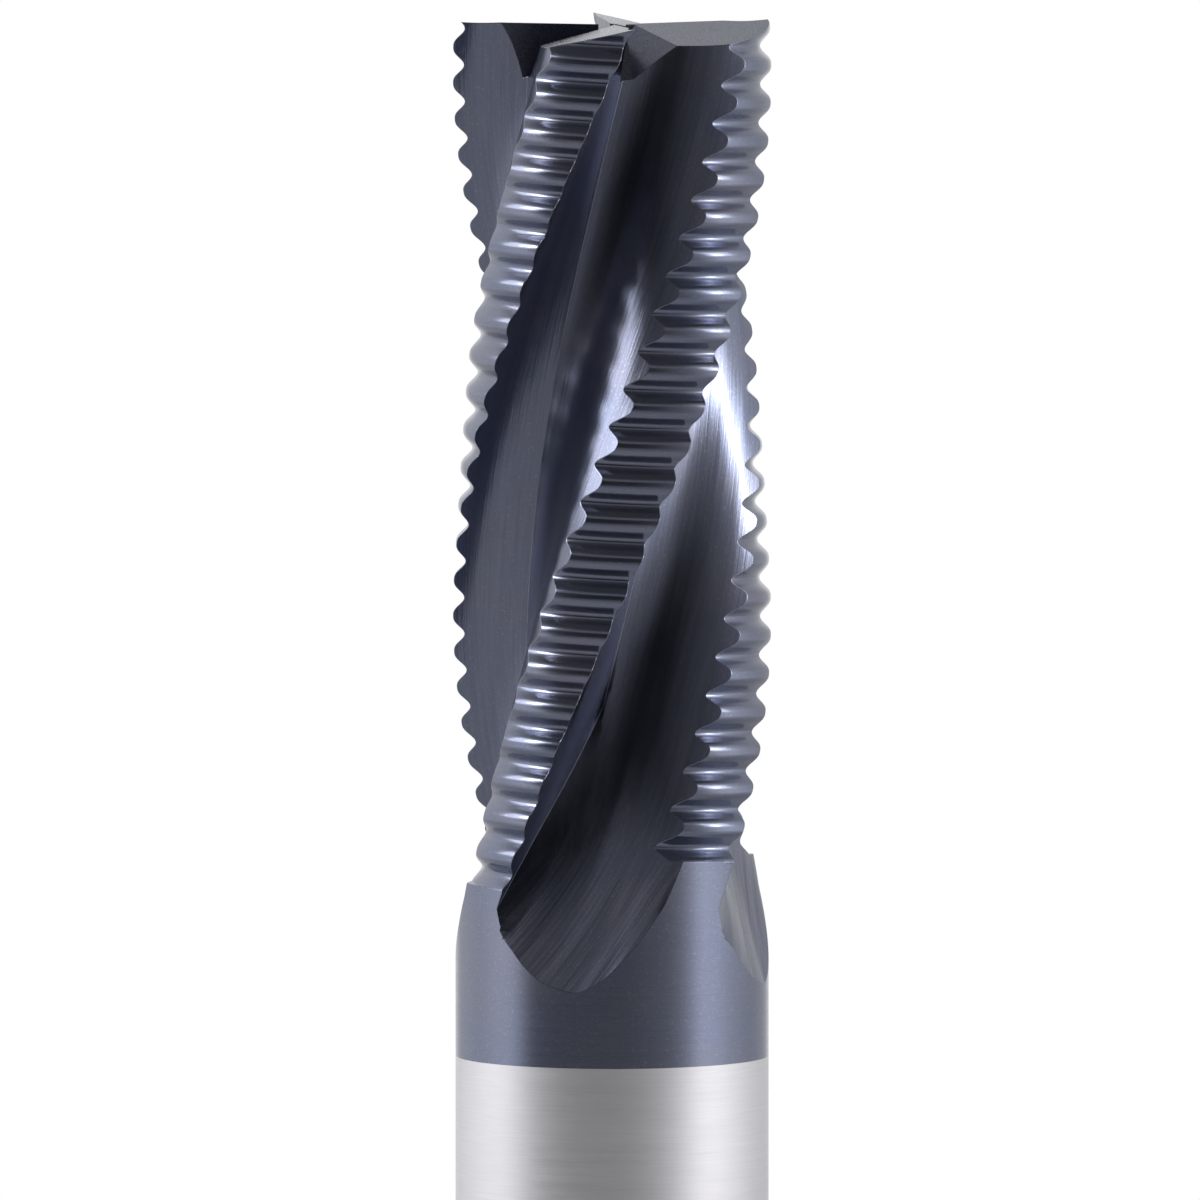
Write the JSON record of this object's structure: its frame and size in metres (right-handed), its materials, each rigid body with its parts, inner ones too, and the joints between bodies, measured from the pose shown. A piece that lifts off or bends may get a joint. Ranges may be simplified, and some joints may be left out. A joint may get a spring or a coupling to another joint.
{
  "type": "roughing end mill",
  "caption": "One-piece roughing end mill: helical flutes, wavy chip-breaking lands and a plain round shank, coated on the cutting part.",
  "frame": {"origin": "centre of the flat end of the shank", "axes": "+Z along the tool's axis towards the cutting end; -Y is the side that the picture shows"},
  "size_m": [0.0162, 0.0162, 0.1],
  "materials": {
    "coated_carbide": "dark blue grey hard coating, glossy over ground carbide"
  },
  "bodies": {
    "root": {"end_mill": "coated_carbide"}
  },
  "joints": []
}
